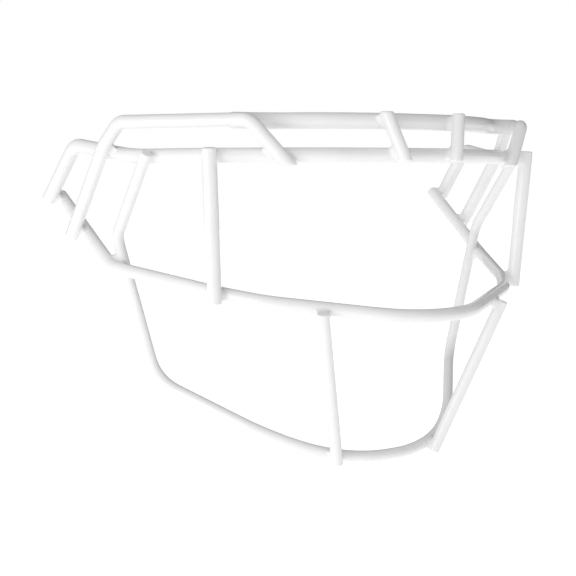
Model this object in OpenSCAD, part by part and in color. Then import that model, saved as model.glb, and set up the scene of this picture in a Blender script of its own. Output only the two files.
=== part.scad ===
// Football helmet face guard: a welded cage of bent round bars, coated white.
// Origin on the mid-plane at the front of the brow bar. +X is the wearer's left, -Y is forward, +Z is up.
// Each long bar is mirrored in the plane X = 0, so its corners are given for the +X half, from the rear
// tip forward. A half width is a corner's X, a depth is its Y and a rise is its Z. All in millimetres.

/* [Bar diameters over the coat] */
// Brow bar
brow_d = 6.8; // [6:0.1:7.6]
// Top bar
top_d = 7.4; // [6.4:0.1:8]
// Mid bar
mid_d = 6.2; // [5.6:0.1:7]
// Jaw bar, of thinner stock
jaw_d = 5.3; // [5:0.1:6.3]
// Loops at the temples
loop_d = 6.3; // [5.7:0.1:7]
// Uprights from brow bar to mid bar
upright_d = 6.6; // [5.8:0.1:7.4]
// Chin uprights from mid bar to jaw bar
chin_d = 5.7; // [5:0.1:6.5]
// Struts from top bar to brow bar
strut_d = 6.5; // [5.8:0.1:7.3]
// Rounding of the cut ends
edge_r = 0.8; // [0.4:0.1:1.2]

/* [Brow bar] */
// How much wider apart the tips of its legs are than its rear corners, on each side
brow_tip_out = 3.5; // [1:0.5:6]
// Depth of the tips
brow_tip_y = 138; // [135:0.5:141]
// Drop of the tips below the brow
brow_tip_drop = 20.5; // [18:0.5:23]
// Half width at the rear corners
brow_rear_w = 122; // [120:0.5:124]
// Depth of the rear corners
brow_rear_y = 113; // [111:0.5:115]
// Rise of the rear corners
brow_rear_rise = 6; // [3.5:0.5:8.5]
// Bend radius of the rear corners
brow_rear_bend = 9; // [6:0.5:12]
// Half width at the temples
brow_temple_w = 111.5; // [110:0.5:113]
// Depth of the temples
brow_temple_y = 72.5; // [70:0.5:75]
// Bend radius at the temples
brow_temple_bend = 40; // [25:5:55]
// Half width where the front turns into the sides
brow_side_w = 89.5; // [88:0.5:91]
// Depth there
brow_side_y = 36.5; // [35:0.5:38]
// Bend radius there
brow_side_bend = 30; // [20:5:45]
// Half width of the front's flat middle
brow_front_w = 42.5; // [40:0.5:45]
// Bend radius of the front
brow_front_bend = 115; // [90:5:120]

/* [Top bar] */
// Rise of the top bar above the brow bar
top_rise = 15.5; // [14.5:0.5:17.5]
// Half width at its ends
top_tip_w = 84; // [83:0.5:85.5]
// Depth of its ends
top_tip_y = 30; // [29:0.5:32]
// Half width at its side bends
top_side_w = 67; // [65:0.5:69]
// Depth there
top_side_y = 29; // [27.5:0.5:30]
// Bend radius there
top_side_bend = 20; // [12:1:26]
// Half width of the front's flat middle
top_front_w = 33.5; // [31:0.5:35.5]
// Depth of the front
top_front_y = 4; // [2:0.5:6]
// Bend radius of the front
top_front_bend = 90; // [70:5:95]

/* [Mid bar] */
// Rise at zero depth of the plane that its front lies in
mid_rise = -70; // [-73:0.5:-67]
// Climb of that plane for each millimetre of depth
mid_slope = 0.2; // [0.17:0.01:0.23]
// How far the cheek bends lie in from the rear corners of the brow bar
mid_cheek_in = 8; // [6.5:0.5:9.5]
// Depth of the cheek bends
mid_cheek_y = 90.5; // [88.5:0.5:92.5]
// Radius of the cheek bends
mid_cheek_bend = 12; // [8:1:14]
// Half width at the sides
mid_side_w = 85; // [83.5:0.5:86.5]
// Depth of the sides
mid_side_y = 39.5; // [38:0.5:41]
// Bend radius at the sides
mid_side_bend = 60; // [45:5:75]
// Half width where the sides turn into the front
mid_turn_w = 71; // [69.5:0.5:72.5]
// Depth there
mid_turn_y = 22; // [20.5:0.5:23.5]
// Bend radius there
mid_turn_bend = 30; // [20:1:36]
// Half width of the front's flat middle
mid_front_w = 17.5; // [16:0.5:20]
// Depth of the front, ahead of the brow bar
mid_front_y = -13; // [-15:0.5:-11]
// Bend radius of the front
mid_front_bend = 50; // [40:1:54]
// Reach of the tails past the legs of the brow bar
mid_tail_over = 2; // [1:0.5:4]
// Place of their welds above the tips of those legs
mid_tail_up = 2; // [2:0.5:5]

/* [Jaw bar] */
// Rise at zero depth of the plane that its front lies in
jaw_rise = -158.5; // [-161:0.5:-156]
// Climb of that plane for each millimetre of depth
jaw_slope = 0.57; // [0.55:0.01:0.59]
// Half width at the jaw corners
jaw_corner_w = 91.5; // [90:0.5:93]
// Depth of the jaw corners
jaw_corner_y = 89.5; // [87:0.5:91]
// Bend radius of the jaw corners
jaw_corner_bend = 20; // [12:1:24]
// Half width at the sides
jaw_side_w = 57.5; // [56:0.5:59]
// Depth of the sides
jaw_side_y = 49.5; // [48:0.5:51]
// Bend radius at the sides
jaw_side_bend = 105; // [80:5:115]
// Half width of the front's flat middle
jaw_front_w = 28; // [27:0.5:30]
// Depth of the front
jaw_front_y = 26; // [24.5:0.5:27.5]
// Bend radius of the front
jaw_front_bend = 66; // [48:1:68]
// Depth where its sides pass inside the mid bar
jaw_mid_y = 88; // [87:0.5:90]
// Rise of the bends above the mid bar
jaw_upper_rise = -37.5; // [-39:0.5:-36]
// Radius of the bends above the mid bar
jaw_upper_bend = 12; // [8:1:20]
// Depth where its tops pass outside the brow bar
jaw_brow_y = 64.5; // [63:0.5:66]
// Reach of the tops past the brow bar
jaw_over = 5; // [3:0.5:6]

/* [Loops] */
// Rise of the loops
loop_rise = 15.5; // [14.5:0.5:17]
// Depth where the rear legs cross the mid bar
loop_mid_y = 115.5; // [112:0.5:118]
// Depth where the rear legs cross the brow bar
loop_brow_y = 86; // [84:0.5:89]
// Half width where the front legs cross the brow bar
loop_front_w = 66.5; // [64:0.5:70]
// How far in from the tips of the top bar the front legs cross it
loop_top_in = 2.5; // [2:0.5:4]
// Bend radius of the corners
loop_bend = 7.5; // [5:0.5:9]
// Reach of the rear legs past the mid bar
loop_over = 4; // [2:0.5:6]
// Reach of the front legs past the brow bar
loop_front_over = 4.5; // [3:0.5:6]

/* [Uprights, chin uprights and struts] */
// Half width where the uprights cross the brow bar
upright_top_w = 89; // [87:0.5:92]
// Half width where they cross the mid bar
upright_foot_w = 84.5; // [82:0.5:87]
// Reach past the brow bar
upright_over = 4; // [2:0.5:6]
// Reach past the mid bar
upright_foot_over = 4; // [2:0.5:6]
// Half width where the chin uprights cross the mid bar
chin_top_w = 49.5; // [46:0.5:53]
// Half width where they cross the jaw bar
chin_foot_w = 27.5; // [25:0.5:31]
// Reach past the mid bar
chin_over = 1; // [1:0.5:5]
// Reach past the jaw bar
chin_foot_over = 2; // [1:0.5:5]
// Half width where the struts cross the top bar
strut_top_w = 19.5; // [17:0.5:22]
// Half width where they cross the brow bar
strut_foot_w = 15; // [13:0.5:18]
// Reach past the top bar
strut_over = 2.5; // [1:0.5:4]
// Reach past the brow bar
strut_foot_over = 2.5; // [1:0.5:5]

/* [Welds] */
// Gap between the coats of two bars that are welded together
weld_gap = 0.05; // [0:0.05:0.3]
// How far the waist of a weld lies in from the side of the thinner bar
weld_inset = 0.7; // [0.5:0.1:0.8]
// Spread of a weld from its waist to the bars
weld_flare = 0.5; // [0.2:0.1:0.6]
// How deep a weld runs into each bar
weld_depth = 2.2; // [1.8:0.1:2.4]
// Least distance from a weld to the rounding of a cut end
weld_clear = 0.2; // [0.1:0.1:0.4]

/* [Hidden] */
// A bend is drawn this much fatter than its legs, which reach this far into it, so that both join cleanly
swell = 0.06;
bite = 0.1;
// A point inside the head, and the share of a height that counts, to tell outside from inside
core = [0, 80, -40];
core_height = 0.3;
white = [0.93, 0.93, 0.93];
$fn = 24;

function unit(v) = v / norm(v);
function flip(p) = [-p[0], p[1], p[2]];
function whole(half) = concat(half, [for (i = [len(half) - 1 : -1 : 0]) flip(half[i])]);
function there_and_back(list) = concat(list, [for (i = [len(list) - 1 : -1 : 0]) list[i]]);

// The centre line of a bent bar, from its corners and bend radii: straight legs joined by tangent bends.
// A leg is [start, end]. A bend is [centre, x, y, radius, angle]: it starts at centre + radius * x and
// turns towards y.
function heading(c, i) = unit(c[i + 1] - c[i]);
function turn(c, i) = acos(heading(c, i - 1) * heading(c, i));
function setback(c, r, i) = (i == 0 || i == len(c) - 1) ? 0 : r[i - 1] * tan(turn(c, i) / 2);
function leg_from(c, r, i) =
    [c[i] + heading(c, i) * setback(c, r, i), c[i + 1] - heading(c, i) * setback(c, r, i + 1)];
function bend_at(c, r, i) =
    let (u = heading(c, i - 1), w = heading(c, i), n = unit(w - u * (u * w)))
    [c[i] - u * setback(c, r, i) + n * r[i - 1], -n, u, r[i - 1], turn(c, i)];
function centre_line(c, r) =
    [for (i = [0 : len(c) - 2])
        each concat([leg_from(c, r, i)], i < len(c) - 2 ? [bend_at(c, r, i + 1)] : [])];
function is_leg(s) = len(s) == 2;

// Where a centre line first meets the plane in which coordinate k has the value v: [point, direction]
function bend_point(s, t) = s[0] + s[3] * (s[1] * cos(t) + s[2] * sin(t));
function bend_heading(s, t) = s[2] * cos(t) - s[1] * sin(t);
function on_leg(s, k, v) =
    let (d = s[1] - s[0], t = (v - s[0][k]) / d[k])
    t >= 0 && t <= 1 ? [[s[0] + d * t, unit(d)]] : [];
function on_bend(s, k, v) =
    let (h = s[3] * norm([s[1][k], s[2][k]]), w = (v - s[0][k]) / h)
    abs(w) > 1 ? [] :
    [for (e = [-acos(w), acos(w)])
        let (t = (atan2(s[2][k], s[1][k]) + e + 360) % 360)
        if (t <= s[4]) [bend_point(s, t), bend_heading(s, t)]];
function first_at(line, k, v) =
    [for (s = line) each (is_leg(s) ? on_leg(s, k, v) : on_bend(s, k, v))][0];

// The way out of the cage, square to a bar of heading t and to a bar of heading d that crosses it at p
function outward(p, t, d) =
    let (n = unit(cross(t, d)), w = p - core)
    n[0] * w[0] + n[1] * w[1] + core_height * n[2] * w[2] < 0 ? -n : n;

// The point at the gap g from a bar that is crossed at b = [point, heading], for a straight bar that starts
// at a: outside where g is positive, and inside where it is negative. Each pass starts from the one before.
function lean(a, b, g, passes = 3) =
    b[0] + outward(b[0], b[1], unit((passes == 0 ? b[0] : lean(a, b, g, passes - 1)) - a)) * g;
// The same for a straight bar that passes two bars: the two points
function brace(a, ga, b, gb, passes = 3) =
    let (q = passes == 0 ? [a[0], b[0]] : brace(a, ga, b, gb, passes - 1), d = unit(q[1] - q[0]))
    [a[0] + outward(a[0], a[1], d) * ga, b[0] + outward(b[0], b[1], d) * gb];
function gap(d1, d2) = (d1 + d2) / 2 + weld_gap;
// A point drawn on past q, on the line from p
function past(p, q, over) = q + unit(q - p) * over;
// The point of the line from p to q that is at height z
function at_height(p, q, z) = p + (q - p) * (z - p[2]) / (q[2] - p[2]);

// Centre lines, in the order in which the bars are welded on
brow_corners = [[brow_rear_w + brow_tip_out, brow_tip_y, -brow_tip_drop],
                [brow_rear_w, brow_rear_y, brow_rear_rise], [brow_temple_w, brow_temple_y, 0],
                [brow_side_w, brow_side_y, 0], [brow_front_w, 0, 0]];
brow_bends = [brow_rear_bend, brow_temple_bend, brow_side_bend, brow_front_bend];
brow_line = centre_line(whole(brow_corners), there_and_back(brow_bends));

top_corners = [[top_tip_w, top_tip_y, top_rise], [top_side_w, top_side_y, top_rise],
               [top_front_w, top_front_y, top_rise]];
top_line = centre_line(whole(top_corners), there_and_back([top_side_bend, top_front_bend]));

function in_mid_plane(w, y) = [w, y, mid_rise + mid_slope * y];
mid_cheek = in_mid_plane(brow_rear_w - mid_cheek_in, mid_cheek_y);
brow_leg_way = unit(brow_corners[1] - brow_corners[0]);
tail_on_brow = [brow_corners[0] + brow_leg_way * mid_tail_up, brow_leg_way];
tail_weld = lean(mid_cheek, tail_on_brow, -gap(brow_d, mid_d));
mid_corners = [past(mid_cheek, tail_weld, mid_tail_over), mid_cheek, in_mid_plane(mid_side_w, mid_side_y),
               in_mid_plane(mid_turn_w, mid_turn_y), in_mid_plane(mid_front_w, mid_front_y)];
mid_bends = [mid_cheek_bend, mid_side_bend, mid_turn_bend, mid_front_bend];
mid_line = centre_line(whole(mid_corners), there_and_back(mid_bends));

function in_jaw_plane(w, y) = [w, y, jaw_rise + jaw_slope * y];
jaw_corner = in_jaw_plane(jaw_corner_w, jaw_corner_y);
jaw_on_mid = first_at(mid_line, 1, jaw_mid_y);
jaw_mid_weld = lean(jaw_corner, jaw_on_mid, -gap(mid_d, jaw_d));
jaw_upper = at_height(jaw_corner, jaw_mid_weld, jaw_upper_rise);
jaw_on_brow = first_at(brow_line, 1, jaw_brow_y);
jaw_brow_weld = lean(jaw_upper, jaw_on_brow, gap(brow_d, jaw_d));
jaw_corners = [past(jaw_upper, jaw_brow_weld, jaw_over), jaw_upper, jaw_corner,
               in_jaw_plane(jaw_side_w, jaw_side_y), in_jaw_plane(jaw_front_w, jaw_front_y)];
jaw_bends = [jaw_upper_bend, jaw_corner_bend, jaw_side_bend, jaw_front_bend];
jaw_line = centre_line(whole(jaw_corners), there_and_back(jaw_bends));

loop_on_mid = first_at(mid_line, 1, loop_mid_y);
loop_on_side = first_at(brow_line, 1, loop_brow_y);
loop_rear = brace(loop_on_mid, gap(mid_d, loop_d), loop_on_side, gap(brow_d, loop_d));
loop_on_front = first_at(brow_line, 0, loop_front_w);
loop_on_top = first_at(top_line, 0, top_tip_w - loop_top_in);
loop_fore = brace(loop_on_front, gap(brow_d, loop_d), loop_on_top, gap(top_d, loop_d));
loop_corners = [past(loop_rear[1], loop_rear[0], loop_over),
                at_height(loop_rear[0], loop_rear[1], loop_rise),
                at_height(loop_fore[0], loop_fore[1], loop_rise),
                past(loop_fore[1], loop_fore[0], loop_front_over)];
loop_line = centre_line(loop_corners, [loop_bend, loop_bend]);

function straight(q, over, foot_over) = [[past(q[1], q[0], over), past(q[0], q[1], foot_over)]];
upright_on_brow = first_at(brow_line, 0, upright_top_w);
upright_on_mid = first_at(mid_line, 0, upright_foot_w);
upright_brace = brace(upright_on_brow, gap(brow_d, upright_d), upright_on_mid, gap(mid_d, upright_d));
upright_line = straight(upright_brace, upright_over, upright_foot_over);

chin_on_mid = first_at(mid_line, 0, chin_top_w);
chin_on_jaw = first_at(jaw_line, 0, chin_foot_w);
chin_brace = brace(chin_on_mid, gap(mid_d, chin_d), chin_on_jaw, gap(jaw_d, chin_d));
chin_line = straight(chin_brace, chin_over, chin_foot_over);

strut_on_top = first_at(top_line, 0, strut_top_w);
strut_on_brow = first_at(brow_line, 0, strut_foot_w);
strut_brace = brace(strut_on_top, gap(top_d, strut_d), strut_on_brow, gap(brow_d, strut_d));
strut_line = straight(strut_brace, strut_over, strut_foot_over);

// Turns what is drawn along +Z to run from p towards q
module along(p, q) {
    v = q - p;
    translate(p) rotate([0, acos(v[2] / norm(v)), atan2(v[1], v[0])]) children();
}

// A straight run of bar. The edge of a cut end is rounded.
module leg(p, q, d, cut_start, cut_end) {
    h = norm(q - p);
    along(p, q) rotate_extrude() {
        translate([0, cut_start ? edge_r : 0])
            square([d / 2, h - (cut_start ? edge_r : 0) - (cut_end ? edge_r : 0)]);
        if (cut_start) end_profile(d, edge_r);
        if (cut_end) end_profile(d, h - edge_r);
    }
}

// Half the profile of a cut end, whose edge is rounded about the height z
module end_profile(d, z) {
    translate([0, z - edge_r]) square([d / 2 - edge_r, 2 * edge_r]);
    translate([d / 2 - edge_r, z]) circle(r = edge_r);
}

// A bend of bar, turned about its centre
module bend(s, d) {
    z = cross(s[1], s[2]);
    multmatrix([[s[1][0], s[2][0], z[0], s[0][0]],
                [s[1][1], s[2][1], z[1], s[0][1]],
                [s[1][2], s[2][2], z[2], s[0][2]],
                [0, 0, 0, 1]])
        rotate_extrude(angle = s[4], $fn = 60) translate([s[3], 0]) circle(d = d);
}

module bar(line, d) {
    last = len(line) - 1;
    for (i = [0 : last]) let (s = line[i])
        if (is_leg(s)) {
            u = unit(s[1] - s[0]);
            leg(s[0] - u * (i == 0 ? 0 : bite), s[1] + u * (i == last ? 0 : bite), d, i == 0, i == last);
        } else bend(s, d + swell);
}

module both_sides() {
    children();
    mirror([1, 0, 0]) children();
}

// A weld is [centre, the way it points, waist radius]. It joins the bar that is crossed at a to one whose
// centre line passes through q. Where either bar ends close by, the weld fits between the rounding of that
// cut end and the far side of the bar that is crossed. Each end is [the way to it, the room up to there].
function weld(a, d, q, other_d, ends = []) =
    let (n = unit(q - a[0]), r = rim(min(d, other_d) / 2 - weld_inset + weld_flare, ends))
    [a[0] + n * (d + weld_gap) / 2 - shift(ends, r), n, r - weld_flare];
function rim(full, ends) = min([full, for (e = ends) (full + e[1]) / 2]);
function shift(ends, r, i = 0) = i == len(ends) ? [0, 0, 0] :
    ends[i][0] * max(0, r - ends[i][1]) + shift(ends, r, i + 1);
function end_of(p, q) = [unit(q - p), norm(q - p) - edge_r - weld_clear];

// The plug of a weld, waisted so that it runs out into both bars
module plug(w) {
    sweep = (pow(weld_flare, 2) + pow(weld_depth, 2)) / (2 * weld_flare);
    along(w[0], w[0] + w[1]) rotate_extrude($fn = 48) difference() {
        translate([0, -weld_depth]) square([w[2] + weld_flare, 2 * weld_depth]);
        translate([w[2] + sweep, 0]) circle(r = sweep, $fn = 96);
    }
}

module plugs(welds) {
    for (w = welds) plug(w);
}

tail_weld_at = weld(tail_on_brow, brow_d, tail_weld, mid_d,
                    [end_of(tail_on_brow[0], brow_corners[0]), end_of(tail_weld, mid_corners[0])]);
jaw_brow_weld_at = weld(jaw_on_brow, brow_d, jaw_brow_weld, jaw_d, [end_of(jaw_brow_weld, jaw_corners[0])]);
jaw_mid_weld_at = weld(jaw_on_mid, mid_d, jaw_mid_weld, jaw_d);
loop_mid_weld_at = weld(loop_on_mid, mid_d, loop_rear[0], loop_d, [end_of(loop_rear[0], loop_corners[0])]);
loop_side_weld_at = weld(loop_on_side, brow_d, loop_rear[1], loop_d);
loop_front_weld_at = weld(loop_on_front, brow_d, loop_fore[0], loop_d,
                          [end_of(loop_fore[0], loop_corners[3])]);
loop_top_weld_at = weld(loop_on_top, top_d, loop_fore[1], loop_d, [end_of(loop_on_top[0], top_corners[0])]);
upright_weld_at = weld(upright_on_brow, brow_d, upright_brace[0], upright_d,
                       [end_of(upright_brace[0], upright_line[0][0])]);
upright_foot_weld_at = weld(upright_on_mid, mid_d, upright_brace[1], upright_d,
                            [end_of(upright_brace[1], upright_line[0][1])]);
chin_weld_at = weld(chin_on_mid, mid_d, chin_brace[0], chin_d, [end_of(chin_brace[0], chin_line[0][0])]);
chin_foot_weld_at = weld(chin_on_jaw, jaw_d, chin_brace[1], chin_d,
                         [end_of(chin_brace[1], chin_line[0][1])]);
strut_weld_at = weld(strut_on_top, top_d, strut_brace[0], strut_d,
                     [end_of(strut_brace[0], strut_line[0][0])]);
strut_foot_weld_at = weld(strut_on_brow, brow_d, strut_brace[1], strut_d,
                          [end_of(strut_brace[1], strut_line[0][1])]);

module brow_bar() {
    color(white) difference() {
        bar(brow_line, brow_d);
        both_sides() plugs([tail_weld_at, jaw_brow_weld_at, loop_side_weld_at, loop_front_weld_at,
                            upright_weld_at, strut_foot_weld_at]);
    }
}

module top_bar() {
    color(white) difference() {
        bar(top_line, top_d);
        both_sides() plugs([loop_top_weld_at, strut_weld_at]);
    }
}

module mid_bar() {
    color(white) difference() {
        bar(mid_line, mid_d);
        both_sides() plugs([tail_weld_at, jaw_mid_weld_at, loop_mid_weld_at,
                            upright_foot_weld_at, chin_weld_at]);
    }
}

module jaw_bar() {
    color(white) difference() {
        bar(jaw_line, jaw_d);
        both_sides() plugs([jaw_brow_weld_at, jaw_mid_weld_at, chin_foot_weld_at]);
    }
}

module left_loop() {
    color(white) difference() {
        bar(loop_line, loop_d);
        plugs([loop_mid_weld_at, loop_side_weld_at, loop_front_weld_at, loop_top_weld_at]);
    }
}

module right_loop() {
    mirror([1, 0, 0]) left_loop();
}

module left_upright() {
    color(white) difference() {
        bar(upright_line, upright_d);
        plugs([upright_weld_at, upright_foot_weld_at]);
    }
}

module right_upright() {
    mirror([1, 0, 0]) left_upright();
}

module left_chin_upright() {
    color(white) difference() {
        bar(chin_line, chin_d);
        plugs([chin_weld_at, chin_foot_weld_at]);
    }
}

module right_chin_upright() {
    mirror([1, 0, 0]) left_chin_upright();
}

module left_strut() {
    color(white) difference() {
        bar(strut_line, strut_d);
        plugs([strut_weld_at, strut_foot_weld_at]);
    }
}

module right_strut() {
    mirror([1, 0, 0]) left_strut();
}

module weld_pair(w) {
    color(white) both_sides() plug(w);
}

module welds_mid_to_brow_legs() {
    weld_pair(tail_weld_at);
}

module welds_jaw_to_brow() {
    weld_pair(jaw_brow_weld_at);
}

module welds_jaw_to_mid() {
    weld_pair(jaw_mid_weld_at);
}

module welds_loops_to_mid() {
    weld_pair(loop_mid_weld_at);
}

module welds_loops_to_brow_sides() {
    weld_pair(loop_side_weld_at);
}

module welds_loops_to_brow_front() {
    weld_pair(loop_front_weld_at);
}

module welds_loops_to_top() {
    weld_pair(loop_top_weld_at);
}

module welds_uprights_to_brow() {
    weld_pair(upright_weld_at);
}

module welds_uprights_to_mid() {
    weld_pair(upright_foot_weld_at);
}

module welds_chin_uprights_to_mid() {
    weld_pair(chin_weld_at);
}

module welds_chin_uprights_to_jaw() {
    weld_pair(chin_foot_weld_at);
}

module welds_struts_to_top() {
    weld_pair(strut_weld_at);
}

module welds_struts_to_brow() {
    weld_pair(strut_foot_weld_at);
}

brow_bar();
top_bar();
mid_bar();
jaw_bar();
left_loop();
right_loop();
left_upright();
right_upright();
left_chin_upright();
right_chin_upright();
left_strut();
right_strut();
welds_mid_to_brow_legs();
welds_jaw_to_brow();
welds_jaw_to_mid();
welds_loops_to_mid();
welds_loops_to_brow_sides();
welds_loops_to_brow_front();
welds_loops_to_top();
welds_uprights_to_brow();
welds_uprights_to_mid();
welds_chin_uprights_to_mid();
welds_chin_uprights_to_jaw();
welds_struts_to_top();
welds_struts_to_brow();
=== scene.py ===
# %% [markdown]
# A football face guard is a cage of bent steel wire, welded where the bars cross and dipped in a
# white coat. The bars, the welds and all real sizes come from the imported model, which is loaded
# first and never moved. Blender adds what the model leaves out: the coat with its gloss and its
# faint ripple, the soft hollows that the coat leaves in each corner, a finer shape for the loops
# and the struts, and the bright studio round the cage.

# %% Load the frame
import bmesh
import bpy
import math
from mathutils import Matrix, Vector
from mathutils.bvhtree import BVHTree


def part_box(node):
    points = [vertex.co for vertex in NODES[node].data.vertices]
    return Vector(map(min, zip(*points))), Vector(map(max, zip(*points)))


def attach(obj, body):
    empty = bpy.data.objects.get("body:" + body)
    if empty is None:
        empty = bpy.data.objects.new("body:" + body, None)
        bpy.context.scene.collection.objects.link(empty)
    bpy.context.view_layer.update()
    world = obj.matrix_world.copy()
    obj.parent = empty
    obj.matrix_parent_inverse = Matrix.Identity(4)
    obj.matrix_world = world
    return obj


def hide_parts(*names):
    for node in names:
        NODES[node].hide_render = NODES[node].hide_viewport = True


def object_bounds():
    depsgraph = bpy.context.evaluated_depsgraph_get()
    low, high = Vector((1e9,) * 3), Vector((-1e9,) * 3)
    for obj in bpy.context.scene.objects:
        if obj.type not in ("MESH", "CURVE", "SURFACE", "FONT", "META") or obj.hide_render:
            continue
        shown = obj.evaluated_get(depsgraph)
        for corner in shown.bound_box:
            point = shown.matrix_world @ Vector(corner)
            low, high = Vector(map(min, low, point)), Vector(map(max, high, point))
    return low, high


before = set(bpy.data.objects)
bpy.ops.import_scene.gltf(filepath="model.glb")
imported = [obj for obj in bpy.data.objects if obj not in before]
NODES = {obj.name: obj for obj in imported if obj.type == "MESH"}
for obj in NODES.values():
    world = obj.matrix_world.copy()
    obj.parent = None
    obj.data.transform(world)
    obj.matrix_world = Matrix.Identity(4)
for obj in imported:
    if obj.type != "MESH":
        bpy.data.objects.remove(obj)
CAD_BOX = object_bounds()
MM = 0.001
print("nodes:", len(NODES), "box in mm:", [[round(v / MM, 1) for v in corner] for corner in CAD_BOX])

# %% [markdown]
# The camera stands ahead of the wearer's right cheek, about level with the brow bar, and looks a
# little down. Its place, heading and focal length were found by fitting the bars' outlines to the
# photograph. They could be set by eye with a Track To constraint, but a few numbers give the same
# view each time. A heading of 0 looks along +Y, and it turns towards +X as it grows.

# %% Place the camera
FRAME_PX = 576
FOCAL_PX = 1324.6
SENSOR_MM = 36
CAMERA_PLACE = Vector((-383.9, -480.0, -10.4)) * MM
HEADING = math.radians(32.89)
DIP = math.radians(4.72)
ROLL = math.radians(-0.14)

forward = Vector((math.sin(HEADING) * math.cos(DIP), math.cos(HEADING) * math.cos(DIP), -math.sin(DIP)))
right = Vector((math.cos(HEADING), -math.sin(HEADING), 0))
up = right.cross(forward)
view_right = math.cos(ROLL) * right + math.sin(ROLL) * up
view_up = math.cos(ROLL) * up - math.sin(ROLL) * right

camera = bpy.data.objects.new("camera", bpy.data.cameras.new("camera"))
bpy.context.scene.collection.objects.link(camera)
camera.data.sensor_width = SENSOR_MM
camera.data.lens = SENSOR_MM * FOCAL_PX / FRAME_PX
turn = camera.matrix_world.to_3x3()
for row in range(3):
    turn[row] = (view_right[row], view_up[row], -forward[row])
camera.matrix_world = turn.to_4x4()
camera.location = CAMERA_PLACE
bpy.context.scene.camera = camera
print("lens in mm:", round(camera.data.lens, 2))

# %% [markdown]
# A finish is written as sums. Nodes could be linked by hand in the Shader Editor, but a small class
# that wraps a node's output lets an ordinary Python expression such as `1 - mask` add the Math
# nodes for us. The method `node` makes any other node.

# %% A small language for shader nodes
class Wire:
    """One output of a node, which can be added, multiplied and so on."""

    def __init__(self, shader, socket):
        self.shader = shader
        self.socket = socket

    def math(self, operation, other):
        return self.shader.node("ShaderNodeMath", {"operation": operation}, {0: self, 1: other})

    def __add__(self, other):
        return self.math("ADD", other)

    def __mul__(self, other):
        return self.math("MULTIPLY", other)

    def __sub__(self, other):
        return self.math("SUBTRACT", other)

    def __rsub__(self, other):
        return self * -1 + other

    __radd__ = __add__
    __rmul__ = __mul__


class Shader:
    """A node tree, emptied first, to which nodes are added."""

    def __init__(self, tree):
        tree.nodes.clear()
        self.tree = tree

    def node(self, kind, settings=None, inputs=None, output=0):
        """A node of that kind: its settings first, then the values or links of its sockets."""
        added = self.tree.nodes.new(kind)
        for name, value in (settings or {}).items():
            setattr(added, name, value)
        for name, value in (inputs or {}).items():
            if isinstance(value, Wire):
                self.tree.links.new(value.socket, added.inputs[name])
            else:
                added.inputs[name].default_value = value
        return Wire(self, added.outputs[output]) if added.outputs else None


def new_material(name):
    material = bpy.data.materials.new(name)
    material.use_nodes = True
    return material, Shader(material.node_tree)


print("operators: + - *")

# %% [markdown]
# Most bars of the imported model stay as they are. The two loops and the two struts are made again
# with what the photograph adds to them: a loop's rear leg turns in just above the brow bar, and its
# front leg and both ends of a strut are cut level, not square. On the real guard a loop is one wire,
# bent over a round former, and a strut is a short straight one. A centre line is straight between
# its corners and has a round bend at each. A curve with a bevel would follow such a line too, but
# its ends are always cut square.

# %% Follow a bent centre line
BEND_STEPS = 16


def at_angle(part):
    """Cosine and sine of that part of a full turn."""
    return math.cos(math.tau * part), math.sin(math.tau * part)


def bent(corners, bends):
    """The points and headings of a centre line with a bend of its own radius at each corner."""
    path = [(corners[0], (corners[1] - corners[0]).normalized())]
    for before, corner, after, radius in zip(corners, corners[1:], corners[2:], bends):
        come, go = (corner - before).normalized(), (after - corner).normalized()
        inward = (go - come * come.dot(go)).normalized()
        angle = come.angle(go)
        hub = corner - come * radius * math.tan(angle / 2) + inward * radius
        for step in range(BEND_STEPS + 1):
            c, s = math.cos(angle * step / BEND_STEPS), math.sin(angle * step / BEND_STEPS)
            path.append((hub + (come * s - inward * c) * radius, come * c + inward * s))
    path.append((corners[-1], go if bends else path[0][1]))
    return path


print("steps in a bend:", BEND_STEPS)

# %% [markdown]
# A bar is a skin over rings of points that stand square to the centre line. A cylinder for each
# straight would be simpler, but the skin goes round the bends without a seam. At a level end the
# last ring is slid along the bar into a level plane. The coat rounds the edge of every cut, so a
# few smaller rings close the end.

# %% Skin a bar
SIDES = 48
RIM_STEPS = 5
RIM = 0.9 * MM
QUARTER_TURN = 0.25


def new_piece(name, points, faces):
    """A smooth piece with that closed skin. It belongs to the cage's one rigid body."""
    mesh = bpy.data.meshes.new(name)
    mesh.from_pydata(points, [], faces)
    work = bmesh.new()
    work.from_mesh(mesh)
    bmesh.ops.recalc_face_normals(work, faces=work.faces)
    work.to_mesh(mesh)
    work.free()
    mesh.shade_smooth()
    piece = bpy.data.objects.new(name, mesh)
    bpy.context.scene.collection.objects.link(piece)
    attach(piece, "root")
    return piece


def skin(name, rings):
    """A bar through the rings, with a flat face in the first and the last."""
    points = [point for ring in rings for point in ring]
    faces = [tuple(range(SIDES)), tuple(range(len(points) - SIDES, len(points)))]
    for first in range(0, len(points) - SIDES, SIDES):
        for k in range(SIDES):
            after = (k + 1) % SIDES
            faces.append((first + k, first + after, first + SIDES + after, first + SIDES + k))
    return new_piece(name, points, faces)


def levelled(ring, centre, way):
    """The ring's points, slid along the bar until they are as high as its centre."""
    return [point + way * (centre.z - point.z) / way.z for point in ring]


def rounded_end(ring, centre, way):
    """The smaller rings that round the edge of a cut end, which points that way."""
    radius = (ring[0] - centre).length
    for step in range(1, RIM_STEPS + 1):
        c, s = at_angle(QUARTER_TURN * step / RIM_STEPS)
        yield [centre + (p - centre) * (1 - RIM * (1 - c) / radius) + way * RIM * s for p in ring]


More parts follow.
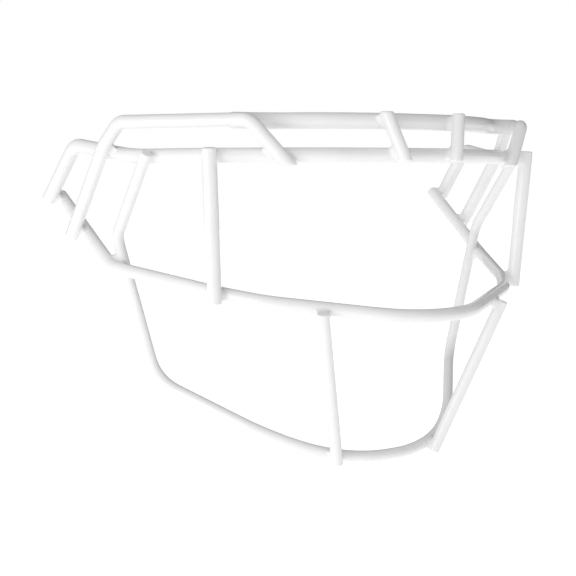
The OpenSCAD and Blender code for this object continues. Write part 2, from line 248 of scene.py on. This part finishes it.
def bent_bar(name, corners, bends, radius, level=()):
    """A round bar. The ends in level, its start (0) or its end (-1), are cut level."""
    path = bent(corners, bends)
    across, rings = path[0][1].orthogonal(), []
    for point, way in path:
        across = (across - way * across.dot(way)).normalized()
        along = way.cross(across)
        turns = (at_angle(k / SIDES) for k in range(SIDES))
        rings.append([point + (across * c + along * s) * radius for c, s in turns])
    ends = []
    for i, outward in ((0, -path[0][1]), (-1, path[-1][1])):
        if i in level:
            rings[i] = levelled(rings[i], path[i][0], outward)
            outward = Vector((0, 0, math.copysign(1, outward.z)))
        ends.append([*rounded_end(rings[i], path[i][0], outward)])
    return skin(name, [*reversed(ends[0]), *rings, *ends[1]])


print("points round a bar:", SIDES)

# %% [markdown]
# The loops are the raised bars over the wearer's temples, and the struts are the short slanted bars
# between the top bar and the brow bar. Their corners and ends are given in millimetres for the left
# side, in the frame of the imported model: from the middle of the brow bar, with the left at +X and
# the back at +Y. The right side is the mirror image, as on the real guard.

# %% Make the loops and the struts
LOOP_RADIUS = 3.15 * MM
LOOP_CORNERS = {
    "rear_foot": (122.9, 116.7, -38.0),
    "knee": (121.4, 82.0, 5.1),
    "rear": (117.6, 73.5, 15.6),
    "fore": (80.1, 20.7, 15.6),
    "fore_foot": (65.5, 12.2, -3.8),
}
LOOP_BENDS = {"knee": 20, "rear": 6, "fore": 7.5}
STRUT_RADIUS = 3 * MM
STRUT_AT_BROW = Vector((15.5, -6.3, 0)) * MM
STRUT_AT_TOP = Vector((20.0, -1.8, 15.5)) * MM
STRUT_FOOT = -3.0 * MM
STRUT_TOP = 19.6 * MM
SIDE_SIGNS = {"left": 1, "right": -1}


def mirrored(point, sign):
    return Vector((point[0] * sign, point[1], point[2]))


def strut_at(height):
    rise = STRUT_AT_TOP - STRUT_AT_BROW
    return STRUT_AT_BROW + rise * (height - STRUT_AT_BROW.z) / rise.z


remade = {}
for side, sign in SIDE_SIGNS.items():
    corners = [mirrored(corner, sign) * MM for corner in LOOP_CORNERS.values()]
    bends = [radius * MM for radius in LOOP_BENDS.values()]
    remade[side + "_loop"] = bent_bar(side + "_leaning_loop", corners, bends, LOOP_RADIUS, level=[-1])
    ends = [mirrored(strut_at(height), sign) for height in (STRUT_FOOT + RIM, STRUT_TOP - RIM)]
    remade[side + "_strut"] = bent_bar(side + "_level_strut", ends, [], STRUT_RADIUS, level=[0, -1])
for node_name, piece in remade.items():
    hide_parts(node_name)
print("made again:", ", ".join(remade))

# %% [markdown]
# Where two bars cross, the weld and the melted coat fill the corner between them with a smooth
# hollow. Its shape is the one that a ball leaves when it is rolled all the way round the joint and
# touches both bars: the coat fills what the ball can't reach. Booleans and bevels don't give it on
# round bars, so the ball is found instead, for each of many directions round the joint. Each weld
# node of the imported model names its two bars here, on the left side.

# %% Which bars each weld joins
JOINS = {
    "welds_mid_to_brow_legs": ("mid_bar", "brow_bar"),
    "welds_jaw_to_brow": ("jaw_bar", "brow_bar"),
    "welds_jaw_to_mid": ("jaw_bar", "mid_bar"),
    "welds_loops_to_mid": ("left_loop", "mid_bar"),
    "welds_loops_to_brow_sides": ("left_loop", "brow_bar"),
    "welds_loops_to_brow_front": ("left_loop", "brow_bar"),
    "welds_loops_to_top": ("left_loop", "top_bar"),
    "welds_uprights_to_brow": ("left_upright", "brow_bar"),
    "welds_uprights_to_mid": ("left_upright", "mid_bar"),
    "welds_chin_uprights_to_mid": ("left_chin_upright", "mid_bar"),
    "welds_chin_uprights_to_jaw": ("left_chin_upright", "jaw_bar"),
    "welds_struts_to_top": ("left_strut", "top_bar"),
    "welds_struts_to_brow": ("left_strut", "brow_bar"),
}


def surface_of(name):
    mesh = remade.get(name, NODES[name]).data
    return BVHTree.FromPolygons([v.co for v in mesh.vertices], [p.vertices for p in mesh.polygons])


def left_plug(weld):
    """Centre, axis and radius of a weld's left plug. The largest faces are those of its ends."""
    faces = [face for face in NODES[weld].data.polygons if face.center.x > 0]
    centre = sum((face.center * face.area for face in faces), Vector()) / sum(face.area for face in faces)
    axis = max(faces, key=lambda face: face.area).normal.copy()
    return centre, axis, max((face.center - centre).cross(axis).length for face in faces)


surfaces = {name: surface_of(name) for name in {bar for pair in JOINS.values() for bar in pair}}
print("bars that meet:", len(surfaces), "welds:", len(JOINS))

# %% [markdown]
# The ball's centre is looked for in the plane through the joint's axis and one direction. Newton's
# method moves it towards the place where its distance from both bars is its radius. A step is at
# most half of the way to the nearer bar, though 0.3 mm is always allowed, and a little damping
# keeps it steady where both bars face the same way. The centre comes no nearer to the joint's axis
# than the rim of the weld's own plug.

# %% Roll the ball
BALL = 2.2 * MM
ROUNDS = 40
LONGEST_STEP = 0.5
SHORTEST_STEP = 0.3 * MM
NO_LENGTH = 1e-9
WELL_INSIDE = -0.5
DAMPING = Matrix.Identity(2) * 0.01


def distance_to(surface, point):
    """How far outside the surface the point is, and the way in which that grows."""
    nearest, normal, _, distance = surface.find_nearest(point)
    away = (point - nearest) / distance
    return (-distance, -away) if away.dot(normal) < WELL_INSIDE else (distance, away)


def rolled_to(pair, centre, way, axis, start, least):
    """How far out and how far up the ball lies when it touches both surfaces."""
    out, lift = start
    for _ in range(ROUNDS):
        (a, near_a), (b, near_b) = (distance_to(s, centre + way * out + axis * lift) for s in pair)
        slopes = Matrix(((near_a.dot(way), near_a.dot(axis)), (near_b.dot(way), near_b.dot(axis))))
        turned = slopes.transposed()
        move = (turned @ slopes + DAMPING).inverted() @ (turned @ Vector((BALL - a, BALL - b)))
        move *= min(1, max(LONGEST_STEP * min(a, b), SHORTEST_STEP) / max(move.length, NO_LENGTH))
        out, lift = max(out + move.x, least), lift + move.y
    return out, lift


print("ball's radius in mm:", round(BALL / MM, 2))

# %% [markdown]
# One direction after another, the ball goes round the joint, and each search starts where the last
# one ended. A first round is only a trial, so that the real one starts well. The bars' own meshes
# have flat faces that make the ball's path tremble, so the path is smoothed.

# %% Follow the ball round a joint
WAYS_ROUND = 96
FIRST_OUT = 5 * MM
FITS_WITHIN = 0.02 * MM
SMOOTHINGS = 8


def smoothed(values):
    for _ in range(SMOOTHINGS):
        values = [(values[i - 1] + values[i] * 2 + values[(i + 1) % len(values)]) / 4
                  for i in range(len(values))]
    return values


def path_of_ball(pair, centre, axis, rim):
    """The ball's centre and its ways off both bars for each direction, and how many don't fit."""
    across = axis.orthogonal().normalized()
    along = axis.cross(across)
    start, balls, offs, odd = (FIRST_OUT, 0), [], [], 0
    for turned in range(-WAYS_ROUND, WAYS_ROUND):
        c, s = at_angle(turned / WAYS_ROUND)
        way = across * c + along * s
        start = rolled_to(pair, centre, way, axis, start, rim)
        if turned < 0:
            continue
        balls.append(centre + way * start[0] + axis * start[1])
        gaps, ways = zip(*(distance_to(surface, balls[-1]) for surface in pair))
        offs.append(ways)
        odd += max(abs(gap - BALL) for gap in gaps) > FITS_WITHIN
    off_a, off_b = (smoothed([off[i] for off in offs]) for i in range(2))
    return list(zip(smoothed(balls), off_a, off_b)), odd


print("directions round a joint:", WAYS_ROUND)

# %% [markdown]
# Between the two places where the ball touches the bars, the fillet follows the ball. Its back
# follows it too, a little deeper, so that each fillet is a closed ring whose edges are sunk into
# the bars. The normals of the hollow point to the ball's centre, which makes the shading run over
# into that of the bars.

# %% Shape a fillet
ARC_STEPS = 10
SINK = 0.4 * MM


def arc(ball, off_a, off_b):
    """Points of the hollow and then of its back, each with its normal."""
    spread = off_a.angle(off_b)
    parts = [step / ARC_STEPS for step in range(ARC_STEPS + 1)]
    normals = [(off_a * math.sin((1 - part) * spread) + off_b * math.sin(part * spread)).normalized()
               for part in parts]
    front = [(ball - normal * BALL, normal) for normal in normals]
    back = [(ball - normal * (BALL + SINK), -normal) for normal in reversed(normals)]
    return front + back


def fillet(name, path, sign):
    rows = [arc(*place) for place in path]
    points = [mirrored(point, sign) for row in rows for point, _ in row]
    normals = [mirrored(normal, sign) for row in rows for _, normal in row]
    size = len(rows[0])
    faces = []
    for here in range(0, len(points), size):
        there = (here + size) % len(points)
        for k in range(size):
            after = (k + 1) % size
            faces.append((here + k, there + k, there + after, here + after))
    piece = new_piece(name, points, faces)
    piece.data.normals_split_custom_set_from_vertices(normals)
    return piece


print("points across a fillet:", 2 * (ARC_STEPS + 1))

# %% [markdown]
# Every joint gets its fillet, and its mirror image on the other side. The plugs that join the loops
# to the top bar would stand out above the loops' corners, and the photograph shows nothing there,
# so the fillets take their place. That joint lies at the top bar's tip, and its axis runs along
# the tip.

# %% Fill all the corners
low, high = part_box("top_bar")
top_radius = (high[2] - low[2]) / 2
TOP_TIP = Vector((high[0], high[1] - top_radius, low[2] + top_radius))
fillets = []
for weld, bars in JOINS.items():
    centre, axis, rim = left_plug(weld)
    if weld == "welds_loops_to_top":
        centre, axis, rim = TOP_TIP, Vector((1, 0, 0)), 0
    path, odd = path_of_ball([surfaces[bar] for bar in bars], centre, axis, rim)
    print(weld, "directions that the ball doesn't fit:", odd)
    for side, sign in SIDE_SIGNS.items():
        fillets.append(fillet(side + "_fillet_" + weld.removeprefix("welds_"), path, sign))
        if weld == "welds_loops_to_top":
            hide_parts(weld)
print("fillets:", len(fillets))

# %% [markdown]
# Each tip of the top bar has a pocket, where the plug of its weld was taken out of it. On the real
# guard the coat runs over the tip without a break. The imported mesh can't be changed, so a sleeve of
# coat closes the pocket. It is too thin for its edge to be seen from a step away. From the corner
# of its last bend, a tip runs 17 mm out and 1 mm back.

# %% Coat the top bar's tips
TIP_WAY = Vector((17, 1, 0)).normalized()
SLEEVE_LENGTH = 9 * MM
SLEEVE_COAT = 0.02 * MM
sleeves = []
for side, sign in SIDE_SIGNS.items():
    ends = [mirrored(TOP_TIP - TIP_WAY * back, sign) for back in (SLEEVE_LENGTH, RIM)]
    sleeves.append(bent_bar(side + "_top_tip_sleeve", ends, [], top_radius + SLEEVE_COAT))
print("sleeves:", len(sleeves))

# %% [markdown]
# The coat is a thick white plastic that is melted on. It is nearly flat, with a faint ripple like
# the peel of an orange, a few millimetres from crest to crest, and a finer one inside it. The
# white is not quite even either: it is a trace darker and less glossy in cloudy patches. A picture
# of such a coat could be wrapped on, but bars of every direction would stretch it. Noise in the
# bars' own coordinates has no seams. A Mix node has a set of sockets for each type of value, and
# those for colours are picked out by their numbers.

# %% The white coat
COAT_WHITE = (0.85, 0.85, 0.85, 1)
COAT_SHADE = (0.78, 0.78, 0.785, 1)
COAT_IOR = 1.5
LEAST_ROUGHNESS = 0.1
CLOUD_ROUGHNESS = 0.08
CLOUD_SCALE, CLOUD_DETAIL = 60, 3
RIPPLE_SCALE, RIPPLE_DETAIL, RIPPLE_SHARE = 420, 2, 0.7
PEEL_SCALE, PEEL_DETAIL, PEEL_SHARE = 1500, 1, 0.3
BUMP_STRENGTH = 0.12
BUMP_HEIGHT = 0.08 * MM
MIX_COLOUR_A, MIX_COLOUR_B, MIXED_COLOUR = 6, 7, 2


def white_coat():
    material, shader = new_material("white_coat")
    place = shader.node("ShaderNodeTexCoord", output="Object")

    def noise(scale, detail):
        return shader.node("ShaderNodeTexNoise", None, {"Vector": place, "Scale": scale, "Detail": detail})

    cloud = noise(CLOUD_SCALE, CLOUD_DETAIL)
    colour = shader.node("ShaderNodeMix", {"data_type": "RGBA"},
                         {"Factor": cloud, MIX_COLOUR_A: COAT_WHITE, MIX_COLOUR_B: COAT_SHADE},
                         output=MIXED_COLOUR)
    ripple = noise(RIPPLE_SCALE, RIPPLE_DETAIL) * RIPPLE_SHARE
    peel = noise(PEEL_SCALE, PEEL_DETAIL) * PEEL_SHARE
    bump = shader.node("ShaderNodeBump", None,
                       {"Strength": BUMP_STRENGTH, "Distance": BUMP_HEIGHT, "Height": ripple + peel})
    surface = shader.node("ShaderNodeBsdfPrincipled", None,
                          {"Base Color": colour, "Roughness": cloud * CLOUD_ROUGHNESS + LEAST_ROUGHNESS,
                           "IOR": COAT_IOR, "Normal": bump})
    shader.node("ShaderNodeOutputMaterial", None, {"Surface": surface})
    return material


coat = white_coat()
for piece in [*NODES.values(), *remade.values(), *fillets, *sleeves]:
    piece.data.materials.clear()
    piece.data.materials.append(coat)
print("coated:", len(NODES), "packed nodes and", len(remade) + len(fillets) + len(sleeves), "pieces")

# %% [markdown]
# The cage is photographed over a light table: a pale floor that is lit through, and so far below
# that it catches no shadow. It lights the undersides of the bars, which the photograph shows as
# their brightest parts. A lamp under each bar could do that too, but it would show in the gloss.

# %% The floor
FLOOR_BELOW = 150 * MM
FLOOR_HALF = 6
FLOOR_COLOUR = (0.9, 0.9, 0.9, 1)
FLOOR_ROUGHNESS = 0.9
FLOOR_GLOW_COLOUR = (1, 1, 1, 1)
FLOOR_GLOW = 0.62


def pale_floor(below):
    mesh = bpy.data.meshes.new("floor")
    s, z = FLOOR_HALF, CAD_BOX[0].z - below
    mesh.from_pydata([(-s, -s, z), (s, -s, z), (s, s, z), (-s, s, z)], [], [(0, 1, 2, 3)])
    floor = bpy.data.objects.new("floor", mesh)
    bpy.context.scene.collection.objects.link(floor)
    material, shader = new_material("pale_floor")
    surface = shader.node("ShaderNodeBsdfPrincipled", None,
                          {"Base Color": FLOOR_COLOUR, "Roughness": FLOOR_ROUGHNESS,
                           "Emission Color": FLOOR_GLOW_COLOUR, "Emission Strength": FLOOR_GLOW})
    shader.node("ShaderNodeOutputMaterial", None, {"Surface": surface})
    mesh.materials.append(material)
    return floor


pale_floor(FLOOR_BELOW)
print("floor is", round(FLOOR_BELOW / MM), "mm below the jaw bar")

# %% [markdown]
# The walls of the studio are white too, but they don't light the cage evenly. In the photograph the
# right-hand sides of the bars are dark, and so are their thin outlines, which mirror the wall
# behind the cage. The tops are lighter than an even sky of this strength would leave them. One
# slope in the light of the sky gives all three, in place of large cards round the cage. The camera
# itself sees plain white.

# %% The surround
SKY_LIGHT = 0.48
SKY_SEEN = 1.0
DARKER_RIGHT = 0.3
DARKER_BEHIND = 0.3
LIGHTER_ABOVE = 0.12
WHITE = (1, 1, 1, 1)


def white_surround(light, seen, darker_way):
    """Lights with the strength light, less what darker_way takes from its own side of the sky."""
    world = bpy.data.worlds.new("surround")
    bpy.context.scene.world = world
    world.use_nodes = True
    shader = Shader(world.node_tree)
    straight = shader.node("ShaderNodeLightPath", output="Is Camera Ray")
    sky = shader.node("ShaderNodeTexCoord", output="Generated")
    loss = shader.node("ShaderNodeVectorMath", {"operation": "DOT_PRODUCT"},
                       {0: sky, 1: darker_way}, output="Value")
    strength = straight * seen + (1 - straight) * (light - loss)
    background = shader.node("ShaderNodeBackground", None, {"Color": WHITE, "Strength": strength})
    shader.node("ShaderNodeOutputWorld", None, {"Surface": background})


darker_way = view_right * DARKER_RIGHT + forward * DARKER_BEHIND - view_up * LIGHTER_ABOVE
white_surround(SKY_LIGHT, SKY_SEEN, darker_way)
print("darker towards:", [round(v, 2) for v in darker_way])

# %% [markdown]
# One soft light stands at the wearer's right, a little ahead of the brow bar and a little below it.
# It draws the white bands on the near bars. A round lamp gives them soft ends, and its size sets
# how wide they are. The Standard view keeps white as white, where a filmic one would turn it grey.

# %% The light
KEY_PLACE = Vector((-0.9, -0.2, -0.05))
KEY_AIM = Vector((0, 0.06, -0.06))
KEY_SIZE = 0.5
KEY_POWER = 1.5


def soft_light(name, place, aim, size, power):
    lamp = bpy.data.lights.new(name, "AREA")
    lamp.shape = "DISK"
    lamp.size = size
    lamp.energy = power
    light = bpy.data.objects.new(name, lamp)
    bpy.context.scene.collection.objects.link(light)
    light.location = place
    light.rotation_euler = (aim - place).to_track_quat("-Z", "Y").to_euler()
    return light


soft_light("key", KEY_PLACE, KEY_AIM, KEY_SIZE, KEY_POWER)
bpy.context.scene.view_settings.view_transform = "Standard"
print("light is", round((KEY_AIM - KEY_PLACE).length, 2), "m from the cage")
